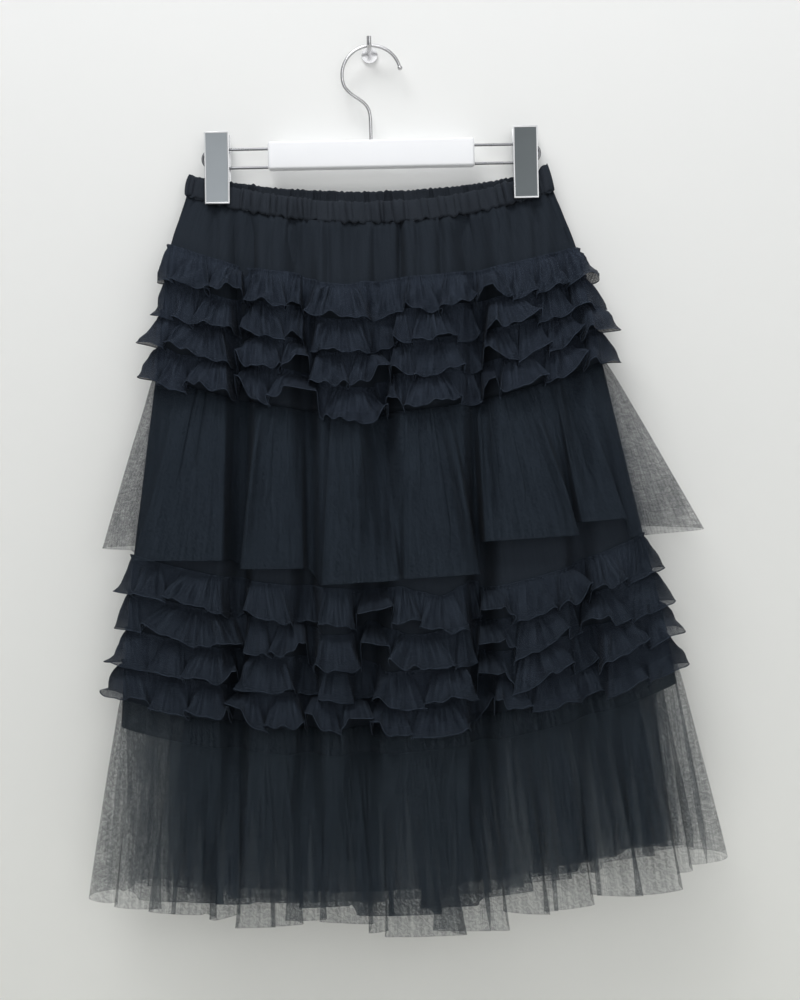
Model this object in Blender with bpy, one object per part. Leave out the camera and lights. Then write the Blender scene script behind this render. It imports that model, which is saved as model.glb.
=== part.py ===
"""Ruffled skirt hung by its waist from a clip hanger, on a wall hook.

Metres, +Z up, +Y into the wall; the front of the skirt faces -Y. The origin is the
centre of the wall hook's plate, on the wall. Each tier of cloth is a closed wall
through rings. A ring is an oval around the body of the skirt, moved out along the
oval's own normals, so that a fold never crosses itself.
"""
import math

import bmesh
import bpy
import numpy as np

# Cloth
SAMPLES = 72                  # points around each ring, half of them on the front
BAND_SAMPLES = 176            # points around the waistband, four for each gather
SEAM_GAP = 0.0003             # between pieces that are sewn together
BAND_GAP = 0.0012             # under the waistband, whose ends turn in finer steps
PANEL_WALL = 0.0018
BAND_WALL = 0.0022
NET_WALL = 0.0018
STEEPEST_WALL = 1.8           # times the wall, along the normal, on a steep side of a fold

# Ruffle strips
STRIP_HEIGHT = 0.033
UPPER_STRIP_DOWN = 0.082      # seam of the first upper strip, down the cloth from the waist
UPPER_STRIP_PITCH = 0.0295
LOWER_STRIP_DOWN = 0.365
LOWER_STRIP_PITCH = 0.0317
STRIPS_IN_BAND = 4
STRIP_FLARE_IN = 0.0070       # the least that a strip stands out at its lower edge
STRIP_FLARE_OUT = 0.0220      # the most, on the front and the sides
BACK_FLARE_IN = 0.0052
BACK_FLARE_OUT = 0.0095       # the wall behind presses the back flat

# Tiers, down the cloth from the waist
BAND_HEIGHT = 0.020
YOKE_MIDDLE = 0.050
FLOUNCE_DOWN = 0.1945
FLOUNCE_RINGS = (0.285, 0.360)
HEM_TIER_DOWN = 0.484
LOWER_PANEL_END = 0.510
HEM_RINGS = (0.580, 0.655)
INNER_HEM_END = 0.642

# Sections of the body of the skirt. down: along the cloth from the waist. left, right:
# x of the side seams. z_left to z_back: heights of the line at four places. middle: y of
# the side seams. front, back: how far the oval bulges before and behind them. power: of
# the oval, higher is boxier. fold: depth of the body's folds.
SECTION_COLUMNS = ("down", "left", "right", "z_left", "z_right", "z_front", "z_back",
                   "middle", "front", "back", "power", "fold")
SECTION_ROWS = (
    (0.000, -0.168, 0.163, -0.110, -0.112, -0.139, -0.127, -0.016, 0.0095, 0.0088, 1.7, 0.000),
    (0.020, -0.172, 0.169, -0.129, -0.131, -0.158, -0.147, -0.016, 0.0100, 0.0090, 1.7, 0.001),
    (0.082, -0.186, 0.188, -0.184, -0.195, -0.222, -0.203, -0.031, 0.0170, 0.0110, 2.2, 0.004),
    (0.1945, -0.198, 0.205, -0.296, -0.290, -0.334, -0.314, -0.040, 0.0230, 0.0160, 2.3, 0.009),
    (0.365, -0.221, 0.238, -0.466, -0.446, -0.498, -0.484, -0.048, 0.0280, 0.0200, 2.4, 0.012),
    (0.460, -0.230, 0.256, -0.560, -0.528, -0.590, -0.576, -0.052, 0.0300, 0.0210, 2.4, 0.012),
    (0.510, -0.233, 0.265, -0.610, -0.580, -0.634, -0.624, -0.053, 0.0300, 0.0210, 2.4, 0.009),
    (0.655, -0.246, 0.288, -0.751, -0.725, -0.789, -0.780, -0.055, 0.0280, 0.0200, 2.4, 0.003),
)

# Deep folds of the body, as x at the upper ruffles and at the hem, with the share of the
# section's fold depth and the half width of each
FOLD_COLUMNS = ("x_top", "x_hem", "share", "half_width")
FRONT_FOLDS = (
    (-0.121, -0.131, 0.90, 0.011),
    (-0.063, -0.075, 0.80, 0.010),
    (0.010, -0.018, 1.00, 0.012),
    (0.094, 0.088, 1.10, 0.012),
    (0.150, 0.206, 0.60, 0.013),
)
BACK_FOLDS = (
    (-0.115, -0.140, 0.50, 0.014),
    (-0.035, -0.048, 0.60, 0.013),
    (0.048, 0.055, 0.50, 0.014),
    (0.120, 0.160, 0.60, 0.013),
)

# Shape of all waves: how often their spacing and size swell on the way round, and how
# full a lobe is, where less than 1 is fuller
SLOW_SHIFT = 2
FAST_SHIFT = 5
SIZE_SWELL = 3
LOBE_FULLNESS = 0.8

# Waves of each strip, top to bottom: how many lobes, where the first is, how uneven
STRIP_COLUMNS = ("lobes", "start", "uneven")
STRIP_ROWS = (
    (14, 0.10, 0.30),
    (15, 0.62, 0.26),
    (14, 0.35, 0.34),
    (15, 0.87, 0.28),
    (15, 0.22, 0.30),
    (14, 0.71, 0.34),
    (15, 0.48, 0.27),
    (14, 0.95, 0.32),
)

# Waves of the wide tiers: lobes, start, uneven, least and most that the tier stands out
# at its foot on the front, and the most at the back
TIER_COLUMNS = ("lobes", "start", "uneven", "least", "most", "most_back")
FLOUNCE_WAVES = (12, 0.30, 0.36, 0.0080, 0.0200, 0.0130)
HEM_OUTER_WAVES = (16, 0.15, 0.30, 0.0120, 0.0220, 0.0190)
HEM_INNER_WAVES = (12, 0.55, 0.34, 0.0000, 0.0060, 0.0050)

# The flounce's lower edge: heights at four places, its rise over the front right, and
# the flaps that stand out past the side seams
FLOUNCE_EDGE = (-0.463, -0.446, -0.483, -0.470)
FLOUNCE_RISE_X = (0.088, 0.108, 0.225, 0.250)
FLOUNCE_RISE_Z = (0.000, 0.026, 0.014, 0.000)
FLAP_LEFT = 0.020
FLAP_RIGHT = 0.042
FLAP_HALF_WIDTH = 0.020       # as a share of the way round

# Waistband gathers
GATHERS = 44
GATHER_DEPTH = 0.0009
GATHER_UNEVEN = 0.2
GATHER_SWELL = 7              # times round that the gathers deepen

# Hanger
HANGER_Y = -0.016
BAR_LENGTH = 0.189
BAR_TOP = -0.082
BAR_HEIGHT = 0.0255
BAR_DEPTH = 0.013
BAR_BEVEL = 0.0012
WIRE_ROUNDNESS = 2
HOOK_WIRE = 0.0032
HOOK_CENTRE = (0.0015, -0.0219)
HOOK_RADIUS = 0.027
HOOK_TIP_ANGLE = 13.0
HOOK_END_ANGLE = 205.0
HOOK_STEP_ANGLE = 12.0
HOOK_BEND = ((-0.0172, -0.0398), (-0.0085, -0.0448), (-0.0022, -0.0510), (0.0, -0.0585))
LOOP_WIRE = 0.0025
LOOP_TOP = -0.088
LOOP_BOTTOM = -0.105
LOOP_END = 0.156
LOOP_END_STEPS = 8
CLIP_X = 0.141
CLIP_WIDTH = 0.0225
CLIP_TOP = -0.073
CLIP_BOTTOM = -0.139
CLIP_PLATE = 0.0018
CLIP_LIP = 0.0016             # the plate's folded side edges
CLIP_HALF_GAP_TOP = 0.0062
CLIP_HALF_GAP_PIVOT = 0.0050
CLIP_HALF_GAP_BOTTOM = 0.0071
PIVOT_LENGTH = 0.010

# Wall hook
PLATE_RADIUS = 0.0075
PLATE_THICK = 0.002
PRONG_RADIUS = 0.0022
PRONG_SIDES = 12
PRONG_REACH = -0.0235
PRONG_TIP = 0.0115
PRONG_CORNER = 0.0050


def material(name, colour, roughness, metallic=0.0):
    """A Principled material of one colour."""
    made = bpy.data.materials.new(name)
    made.use_nodes = True
    shader = made.node_tree.nodes["Principled BSDF"]
    shader.inputs["Base Color"].default_value = (*colour, 1.0)
    shader.inputs["Roughness"].default_value = roughness
    shader.inputs["Metallic"].default_value = metallic
    return made


def add_object(name, bm, look, sharp_degrees=35.0):
    """Turn a bmesh into a named object with its own material."""
    mesh = bpy.data.meshes.new(name)
    bm.to_mesh(mesh)
    bm.free()
    mesh.shade_smooth()
    mesh.set_sharp_from_angle(angle=math.radians(sharp_degrees))
    mesh.materials.append(look)
    made = bpy.data.objects.new(name, mesh)
    bpy.context.collection.objects.link(made)
    return made


def section_at(down):
    """The body's section at a distance down the cloth, as a dict of its columns."""
    rows = np.array(SECTION_ROWS)
    values = [np.interp(down, rows[:, 0], rows[:, i]) for i in range(len(SECTION_COLUMNS))]
    return dict(zip(SECTION_COLUMNS, values))


def half_oval(section, bulge, sign, count):
    """Points at equal steps along one half of the oval, from the left seam to the right."""
    turn = np.linspace(0.0, math.pi, 400)
    across = -np.cos(turn)
    deep = (1.0 - np.abs(across) ** section["power"]).clip(0.0) ** (1.0 / section["power"])
    centre = (section["left"] + section["right"]) / 2
    half = (section["right"] - section["left"]) / 2
    x = centre + half * across
    y = section["middle"] + sign * bulge * deep
    length = np.concatenate(([0.0], np.cumsum(np.hypot(np.diff(x), np.diff(y)))))
    steps = np.linspace(0.0, length[-1], count + 1)
    return np.interp(steps, length, x), np.interp(steps, length, y)


def oval(section, count):
    """Points and outward normals around a section: left seam, front, right seam, back."""
    half = count // 2
    front_x, front_y = half_oval(section, section["front"], -1.0, half)
    back_x, back_y = half_oval(section, section["back"], 1.0, half)
    x = np.concatenate((front_x[:-1], back_x[:0:-1]))
    y = np.concatenate((front_y[:-1], back_y[:0:-1]))
    along_x = np.roll(x, -1) - np.roll(x, 1)
    along_y = np.roll(y, -1) - np.roll(y, 1)
    size = np.hypot(along_x, along_y)
    return np.stack((x, y), 1), np.stack((along_y / size, -along_x / size), 1)


def backness(round_share):
    """0 on the front and at the side seams, 1 in the middle of the back."""
    return np.sin(2 * math.pi * (round_share - 0.5)).clip(0.0) ** 0.6 * (round_share > 0.5)


def line_height(section, points, round_share):
    """Height of a level line round the skirt, which droops between the side seams."""
    half = (section["right"] - section["left"]) / 2
    across = ((points[:, 0] - section["left"]) / half - 1.0).clip(-1.0, 1.0)
    ends = (section["z_left"] + section["z_right"]) / 2
    tilt = (section["z_right"] - section["z_left"]) / 2
    droop = np.where(round_share > 0.5, ends - section["z_back"], ends - section["z_front"])
    return ends + tilt * across - droop * (1.0 - across ** 2)


def body_folds(section, points, round_share):
    """How far the body's own folds move its wall out, at each point of a ring."""
    way_down = min(1.0, max(0.0, (section["down"] - UPPER_STRIP_DOWN) / 0.5))
    moved = np.zeros(len(points))
    for folds, side in ((FRONT_FOLDS, round_share < 0.5), (BACK_FOLDS, round_share > 0.5)):
        for row in folds:
            fold = dict(zip(FOLD_COLUMNS, row))
            x = fold["x_top"] + (fold["x_hem"] - fold["x_top"]) * way_down
            reach = (points[:, 0] - x) / fold["half_width"]
            moved -= side * section["fold"] * fold["share"] * np.exp(-reach ** 2)
    return moved


def turns(round_share, times, start):
    """A sine that goes so many times round the skirt."""
    return np.sin(2 * math.pi * (times * round_share + start))


def wave_shape(round_share, lobes, start, uneven):
    """Waves from 0 to 1 around the skirt, wider and narrower ones by turns."""
    shift = turns(round_share, SLOW_SHIFT, 3 * start) + 0.7 * turns(round_share, FAST_SHIFT, start)
    place = lobes * round_share + uneven * shift + start
    wave = 0.5 - 0.5 * np.cos(2 * math.pi * place)
    size = 1.0 - uneven * (0.5 + 0.5 * turns(round_share, SIZE_SWELL, 2 * start))
    return wave ** LOBE_FULLNESS * size


class Ring:
    """One ring of a wall: places and normals, how far out it is, and its heights."""

    def __init__(self, down, count=SAMPLES):
        self.section = section_at(down)
        self.share = np.arange(count) / count
        self.points, self.normals = oval(self.section, count)
        self.out = body_folds(self.section, self.points, self.share)
        self.z = line_height(self.section, self.points, self.share)

    def moved_out(self, distance):
        """Move the ring out along its normals, by one distance or one for each point."""
        self.out = self.out + distance
        return self

    def lowered(self, distance):
        """Move the ring down."""
        self.z = self.z - distance
        return self

    def walls(self, wall, laid_on):
        """Outer and inner points, the wall thicker along the normal where it is steep.

        A piece that is laid on another has its wall outside the ring, others inside it.
        """
        step = np.hypot(*(np.roll(self.points, -1, 0) - np.roll(self.points, 1, 0)).T)
        slope = (np.roll(self.out, -1) - np.roll(self.out, 1)) / step
        thick = wall * np.sqrt(1.0 + slope ** 2).clip(1.0, STEEPEST_WALL)
        inmost = self.out if laid_on else self.out - thick
        outer = self.points + self.normals * (inmost + thick)[:, None]
        inner = self.points + self.normals * inmost[:, None]
        heights = self.z[:, None]
        return np.hstack((outer, heights)), np.hstack((inner, heights))


def cloth(name, rings, wall, look, laid_on=True, first=0, last=None):
    """A closed wall through rings. With first and last it is open at those two points.

    All walls are split into triangles the same way, so that layers stay clear.
    """
    whole = last is None
    count = len(rings[0].points)
    picked = list(range(count)) if whole else [i % count for i in range(first, last + 1)]
    bm = bmesh.new()
    outer, inner = [], []
    for ring in rings:
        out_points, in_points = ring.walls(wall, laid_on)
        if not whole:
            for points in (out_points, in_points):
                shorten(points, picked)
        outer.append([bm.verts.new(out_points[i]) for i in picked])
        inner.append([bm.verts.new(in_points[i]) for i in picked])
    last_step = len(picked) if whole else len(picked) - 1
    for j in range(last_step):
        k = (j + 1) % len(picked)
        for upper, lower in zip(outer, outer[1:]):
            bm.faces.new((upper[j], lower[j], lower[k]))
            bm.faces.new((upper[j], lower[k], upper[k]))
        for upper, lower in zip(inner, inner[1:]):
            bm.faces.new((lower[k], lower[j], upper[j]))
            bm.faces.new((upper[k], lower[k], upper[j]))
        bm.faces.new((outer[0][j], outer[0][k], inner[0][k], inner[0][j]))
        bm.faces.new((outer[-1][k], outer[-1][j], inner[-1][j], inner[-1][k]))
    if not whole:
        for i in range(len(rings) - 1):
            bm.faces.new((outer[i][0], inner[i][0], inner[i + 1][0], outer[i + 1][0]))
            bm.faces.new((inner[i][-1], outer[i][-1], outer[i + 1][-1], inner[i + 1][-1]))
    return add_object(name, bm, look, 60.0)


def shorten(points, picked):
    """Pull the two ends of an open stretch back, by half the gap of a side seam each."""
    for end, neighbour in ((picked[0], picked[1]), (picked[-1], picked[-2])):
        along = points[neighbour] - points[end]
        points[end] += along / np.linalg.norm(along) * SEAM_GAP / 2


def panel(name, downs, look):
    """Front and back halves of a tier of the body, which meet at the side seams."""
    for side, first in (("front", 0), ("back", SAMPLES // 2)):
        rings = [Ring(down) for down in downs]
        cloth(f"{name}_{side}", rings, PANEL_WALL, look, False, first, first + SAMPLES // 2)


def ruffle_strip(name, down, row, look):
    """A gathered strip, sewn on along its top and standing out in lobes below."""
    seam = Ring(down).moved_out(SEAM_GAP)
    foot = Ring(down + STRIP_HEIGHT)
    back = backness(foot.share)
    least = STRIP_FLARE_IN + (BACK_FLARE_IN - STRIP_FLARE_IN) * back
    most = STRIP_FLARE_OUT + (BACK_FLARE_OUT - STRIP_FLARE_OUT) * back
    waves = dict(zip(STRIP_COLUMNS, row))
    flare = least + (most - least) * wave_shape(foot.share, **waves)
    foot.moved_out(SEAM_GAP + flare)
    foot.z = seam.z - np.sqrt(STRIP_HEIGHT ** 2 - flare ** 2)
    cloth(name, (seam, foot), NET_WALL, look)


def tier_flare(ring, row):
    """How far a wide tier stands out at its foot, at each point of a ring."""
    tier = dict(zip(TIER_COLUMNS, row))
    most = tier["most"] + (tier["most_back"] - tier["most"]) * backness(ring.share)
    wave = wave_shape(ring.share, tier["lobes"], tier["start"], tier["uneven"])
    return tier["least"] + (most - tier["least"]) * wave


def flounce(look):
    """The wide gathered tube between the ruffled bands, with a flap at each side."""
    rings = [Ring(FLOUNCE_DOWN).lowered(SEAM_GAP).moved_out(SEAM_GAP)]
    for down in FLOUNCE_RINGS:
        ring = Ring(down)
        way = (down - FLOUNCE_DOWN) / (FLOUNCE_RINGS[-1] - FLOUNCE_DOWN)
        from_left = np.minimum(ring.share, 1.0 - ring.share) / FLAP_HALF_WIDTH
        from_right = (ring.share - 0.5) / FLAP_HALF_WIDTH
        flaps = FLAP_LEFT * np.exp(-from_left ** 2) + FLAP_RIGHT * np.exp(-from_right ** 2)
        ring.moved_out(SEAM_GAP + (tier_flare(ring, FLOUNCE_WAVES) + flaps) * way)
        rings.append(ring)
    edge = rings[-1]
    for key, height in zip(("z_left", "z_right", "z_front", "z_back"), FLOUNCE_EDGE):
        edge.section[key] = height
    edge.z = line_height(edge.section, edge.points, edge.share)
    rise = np.interp(edge.points[:, 0], FLOUNCE_RISE_X, FLOUNCE_RISE_Z)
    edge.z += rise * (edge.share < 0.5)
    cloth("flounce", rings, NET_WALL, look)


def hem_tiers(look):
    """The outer tube over the lower panel's edge, and inner halves hung from that edge."""
    outer = [Ring(HEM_TIER_DOWN).moved_out(SEAM_GAP)]
    for down in (LOWER_PANEL_END, *HEM_RINGS):
        ring = Ring(down)
        way = (down - HEM_TIER_DOWN) / (HEM_RINGS[-1] - HEM_TIER_DOWN)
        outer.append(ring.moved_out(SEAM_GAP + tier_flare(ring, HEM_OUTER_WAVES) * way))
    cloth("hem_tier_outer", outer, NET_WALL, look)
    inner = [Ring(LOWER_PANEL_END).lowered(SEAM_GAP)]
    for down in (HEM_RINGS[0], INNER_HEM_END):
        ring = Ring(down)
        way = (down - LOWER_PANEL_END) / (INNER_HEM_END - LOWER_PANEL_END)
        inner.append(ring.moved_out(tier_flare(ring, HEM_INNER_WAVES) * way))
    for side, first in (("front", 0), ("back", SAMPLES // 2)):
        cloth(f"hem_tier_inner_{side}", inner, NET_WALL, look, False, first, first + SAMPLES // 2)


def waistband(look):
    """The strip over the elastic, with a gather at every fourth point."""
    top = Ring(0.0, BAND_SAMPLES)
    foot = Ring(BAND_HEIGHT, BAND_SAMPLES)
    depth = 1.0 - GATHER_UNEVEN * (1.0 - turns(top.share, GATHER_SWELL, 0.0))
    gather = GATHER_DEPTH * depth * np.cos(2 * math.pi * GATHERS * top.share)
    for ring in (top, foot):
        ring.moved_out(gather)
    panel_top = Ring(BAND_HEIGHT)
    foot.z = BAND_GAP + np.interp(foot.share, np.append(panel_top.share, 1.0),
                                  np.append(panel_top.z, panel_top.z[0]))
    cloth("waistband", (top, foot), BAND_WALL, look, laid_on=False)


def wire(name, route, diameter, look):
    """A round wire through a list of points, with closed ends."""
    curve = bpy.data.curves.new(name, "CURVE")
    curve.dimensions = "3D"
    curve.bevel_depth = diameter / 2
    curve.bevel_resolution = WIRE_ROUNDNESS
    curve.use_fill_caps = True
    spline = curve.splines.new("POLY")
    spline.points.add(len(route) - 1)
    for point, place in zip(spline.points, route):
        point.co = (*place, 1.0)
    made = bpy.data.objects.new(name, curve)
    made.data.materials.append(look)
    bpy.context.collection.objects.link(made)
    return made


def hanger_hook(look):
    """Open arc over the wall hook, a short bend, and the stem down to the bar."""
    centre_x, centre_z = HOOK_CENTRE
    steps = round((HOOK_END_ANGLE - HOOK_TIP_ANGLE) / HOOK_STEP_ANGLE)
    route = []
    for angle in np.radians(np.linspace(HOOK_TIP_ANGLE, HOOK_END_ANGLE, steps + 1)):
        x = centre_x + HOOK_RADIUS * math.cos(angle)
        z = centre_z + HOOK_RADIUS * math.sin(angle)
        route.append((x, HANGER_Y, z))
    route += [(x, HANGER_Y, z) for x, z in HOOK_BEND]
    route.append((0.0, HANGER_Y, BAR_TOP + SEAM_GAP))
    wire("hanger_hook", route, HOOK_WIRE, look)


def box(name, size, centre, bevel, look):
    """A block with rounded edges."""
    bm = bmesh.new()
    bmesh.ops.create_cube(bm, size=1.0)
    bmesh.ops.scale(bm, vec=size, verts=bm.verts)
    bmesh.ops.bevel(bm, geom=bm.edges[:], offset=bevel, segments=2, profile=0.5,
                    affect="EDGES")
    made = add_object(name, bm, look)
    made.location = centre
    return made


def wire_loop(name, side, look):
    """A long U of wire out of one end of the bar, which carries the clip."""
    radius = (LOOP_TOP - LOOP_BOTTOM) / 2
    start = BAR_LENGTH / 2 + SEAM_GAP
    bend = LOOP_END - LOOP_WIRE / 2 - radius
    middle = (LOOP_TOP + LOOP_BOTTOM) / 2
    route = [(start, LOOP_TOP)]
    for angle in np.linspace(math.pi / 2, -math.pi / 2, LOOP_END_STEPS + 1):
        route.append((bend + radius * math.cos(angle), middle + radius * math.sin(angle)))
    route.append((start, LOOP_BOTTOM))
    wire(name, [(side * x, HANGER_Y, z) for x, z in route], LOOP_WIRE, look)


def clip_plate(name, side, facing, look):
    """A tall plate, nearest to the wire at the pivot, with its side edges folded in."""
    bm = bmesh.new()
    half = CLIP_WIDTH / 2
    heights = (CLIP_TOP, LOOP_BOTTOM, CLIP_BOTTOM)
    gaps = (CLIP_HALF_GAP_TOP, CLIP_HALF_GAP_PIVOT, CLIP_HALF_GAP_BOTTOM)
    profile = ((-half, 0.0), (-half, CLIP_PLATE + CLIP_LIP), (half, CLIP_PLATE + CLIP_LIP),
               (half, 0.0), (half - CLIP_LIP, 0.0), (half - CLIP_LIP, CLIP_LIP),
               (CLIP_LIP - half, CLIP_LIP), (CLIP_LIP - half, 0.0))
    loops = []
    for height, gap in zip(heights, gaps):
        loops.append([bm.verts.new((x, facing * (gap + out), height)) for x, out in profile])
    for upper, lower in zip(loops, loops[1:]):
        for j in range(len(profile)):
            k = (j + 1) % len(profile)
            bm.faces.new((upper[j], upper[k], lower[k], lower[j]))
    bm.faces.new(loops[0])
    bm.faces.new(loops[-1])
    bmesh.ops.recalc_face_normals(bm, faces=bm.faces)
    made = add_object(name, bm, look)
    made.location = (side * CLIP_X, HANGER_Y, 0.0)
    return made


def pivot_barrel(name, side, look):
    """The sleeve on the lower wire that the two plates of a clip turn on."""
    bm = bmesh.new()
    bore = LOOP_WIRE / 2 + SEAM_GAP
    outer = CLIP_HALF_GAP_PIVOT + CLIP_LIP - SEAM_GAP
    ends = (-PIVOT_LENGTH / 2, PIVOT_LENGTH / 2)
    profile = ((ends[0], bore), (ends[0], outer), (ends[1], outer), (ends[1], bore))
    verts = [bm.verts.new((x, 0.0, z)) for x, z in profile]
    edges = [bm.edges.new((verts[i], verts[(i + 1) % 4])) for i in range(4)]
    bmesh.ops.spin(bm, geom=verts + edges, cent=(0, 0, 0), axis=(1, 0, 0),
                   angle=2 * math.pi, steps=PRONG_SIDES, use_merge=True)
    bmesh.ops.recalc_face_normals(bm, faces=bm.faces)
    made = add_object(name, bm, look)
    made.location = (side * CLIP_X, HANGER_Y, LOOP_BOTTOM)
    return made


def wall_hook(look):
    """Round plate on the wall, and the prong under the hanger's wire, turned up at its tip."""
    hook_under = HOOK_CENTRE[1] + HOOK_RADIUS - HOOK_WIRE / 2
    height = hook_under - SEAM_GAP - PRONG_RADIUS
    bm = bmesh.new()
    route = [(-PLATE_THICK, height, 0.0)]
    for angle in np.linspace(0.0, math.pi / 2, 5):
        y = PRONG_REACH + PRONG_CORNER * (1.0 - math.sin(angle))
        z = height + PRONG_CORNER * (1.0 - math.cos(angle))
        route.append((y, z, angle))
    route.append((PRONG_REACH, PRONG_TIP, math.pi / 2))
    loops = [plate_loop(bm, 0.0), plate_loop(bm, -PLATE_THICK)]
    for y, z, angle in route:
        loop = []
        for turn in np.linspace(0.0, 2 * math.pi, PRONG_SIDES, endpoint=False):
            across = PRONG_RADIUS * math.cos(turn)
            rise = PRONG_RADIUS * math.sin(turn)
            loop.append(bm.verts.new((across, y + rise * math.sin(angle),
                                      z + rise * math.cos(angle))))
        loops.append(loop)
    for near, far in zip(loops, loops[1:]):
        for j in range(PRONG_SIDES):
            k = (j + 1) % PRONG_SIDES
            bm.faces.new((near[j], near[k], far[k], far[j]))
    bm.faces.new(loops[0])
    bm.faces.new(loops[-1])
    bmesh.ops.recalc_face_normals(bm, faces=bm.faces)
    return add_object("wall_hook", bm, look)


def plate_loop(bm, y):
    """A circle of the wall plate's edge."""
    turns = np.linspace(0.0, 2 * math.pi, PRONG_SIDES, endpoint=False)
    return [bm.verts.new((PLATE_RADIUS * math.cos(t), y, PLATE_RADIUS * math.sin(t)))
            for t in turns]


def main():
    for old in list(bpy.data.objects):
        bpy.data.objects.remove(old)
    opaque = material("black_cloth", (0.018, 0.019, 0.022), 0.9)
    band = material("waistband_cloth", (0.016, 0.017, 0.020), 0.9)
    upper_net = material("upper_ruffle_net", (0.022, 0.023, 0.026), 0.95)
    flounce_net = material("flounce_net", (0.020, 0.021, 0.024), 0.95)
    lower_net = material("lower_ruffle_net", (0.024, 0.025, 0.028), 0.95)
    hem_net = material("hem_net", (0.026, 0.027, 0.030), 0.95)
    plastic = material("white_plastic", (0.86, 0.87, 0.88), 0.35)
    chrome = material("bright_steel", (0.72, 0.72, 0.73), 0.18, 1.0)
    clip_metal = material("clip_metal", (0.42, 0.43, 0.44), 0.35, 0.9)

    waistband(band)
    upper_strips = [UPPER_STRIP_DOWN + UPPER_STRIP_PITCH * i for i in range(STRIPS_IN_BAND)]
    lower_strips = [LOWER_STRIP_DOWN + LOWER_STRIP_PITCH * i for i in range(STRIPS_IN_BAND)]
    panel("upper_panel", [BAND_HEIGHT, YOKE_MIDDLE, *upper_strips, FLOUNCE_DOWN], opaque)
    panel("lower_panel", [FLOUNCE_DOWN + SEAM_GAP, FLOUNCE_RINGS[0], *lower_strips,
                          HEM_TIER_DOWN, LOWER_PANEL_END], opaque)
    for i, down in enumerate(upper_strips):
        ruffle_strip(f"upper_ruffle_{i + 1}", down, STRIP_ROWS[i], upper_net)
    for i, down in enumerate(lower_strips):
        ruffle_strip(f"lower_ruffle_{i + 1}", down, STRIP_ROWS[STRIPS_IN_BAND + i], lower_net)
    flounce(flounce_net)
    hem_tiers(hem_net)

    bar_centre = (0.0, HANGER_Y, BAR_TOP - BAR_HEIGHT / 2)
    box("hanger_bar", (BAR_LENGTH, BAR_DEPTH, BAR_HEIGHT), bar_centre, BAR_BEVEL, plastic)
    hanger_hook(chrome)
    wall_hook(chrome)
    for name, side in (("left", -1), ("right", 1)):
        wire_loop(f"wire_loop_{name}", side, chrome)
        clip_plate(f"clip_{name}_front", side, -1, clip_metal)
        clip_plate(f"clip_{name}_back", side, 1, clip_metal)
        pivot_barrel(f"clip_{name}_pivot", side, chrome)


main()
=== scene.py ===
"""Looks of a black ruffled skirt, hung by its waist from a clip hanger on a wall hook.

Metres, +Z up, +Y into the wall. The cloth is made again in fine mesh on the same
sections as its solids, and the hanger's pieces get their edges, rims and finishes.
"""
import math
from collections import namedtuple

import bpy
import numpy as np
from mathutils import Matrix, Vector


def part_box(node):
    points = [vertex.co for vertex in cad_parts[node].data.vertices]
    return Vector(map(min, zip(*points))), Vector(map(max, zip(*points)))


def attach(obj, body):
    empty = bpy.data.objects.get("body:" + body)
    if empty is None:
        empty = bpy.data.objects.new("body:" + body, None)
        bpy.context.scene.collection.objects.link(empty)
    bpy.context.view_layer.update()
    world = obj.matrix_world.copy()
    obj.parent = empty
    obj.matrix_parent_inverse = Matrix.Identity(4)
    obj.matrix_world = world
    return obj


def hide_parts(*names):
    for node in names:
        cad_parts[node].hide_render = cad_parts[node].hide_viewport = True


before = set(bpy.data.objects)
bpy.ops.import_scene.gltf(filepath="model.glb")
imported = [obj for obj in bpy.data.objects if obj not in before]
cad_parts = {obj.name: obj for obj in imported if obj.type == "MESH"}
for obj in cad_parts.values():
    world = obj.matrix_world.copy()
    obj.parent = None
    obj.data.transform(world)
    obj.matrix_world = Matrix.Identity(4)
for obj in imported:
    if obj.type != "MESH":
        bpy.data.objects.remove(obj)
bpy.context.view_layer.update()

# Cloth
OPAQUE_THICKNESS = 0.0005
NET_THICKNESS = 0.0003
SEAM_LIFT = 0.0006            # a strip's seam above the cloth that it is sewn to
BAND_PUCKER = 0.0070          # how far the waistband's puckers stand out
YOKE_TROUGH_FRONT = 0.0135    # depth of the deepest trough under the waistband
YOKE_TROUGH_BACK = 0.0095
YOKE_GATHERS = 0.0034         # depth of the fine gathers close to the waistband

# Ruffle strips
STRIP_HEIGHT = 0.033
STRIP_STAND = 0.0200          # how far the front's lobes stand out
BACK_STRIP_STAND = 0.0105
MOST_LIFT = 0.007             # of a lobe's whole height, to meet the photo's edge
HEADING = 0.0035              # the puckered edge above the stitching
STRIP_CURL = 0.0045           # how far a strip's cut edge curls out
STRIP_CRUMPLE = 0.0026
UPPER_STRIPS = (0.082, 0.1115, 0.141, 0.1705)
LOWER_STRIPS = (0.365, 0.3967, 0.4284, 0.4601)
STRIP_COLUMNS_AROUND = 1100
STRIP_ROWS_DOWN = 9

# Tiers, down the cloth from the waist
BAND_HEIGHT = 0.020
FLOUNCE_DOWN = 0.1945
FLOUNCE_FOOT = 0.360
HEM_TIER_DOWN = 0.484
LOWER_PANEL_END = 0.510
OUTER_HEM = 0.655
INNER_HEM = 0.642

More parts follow.
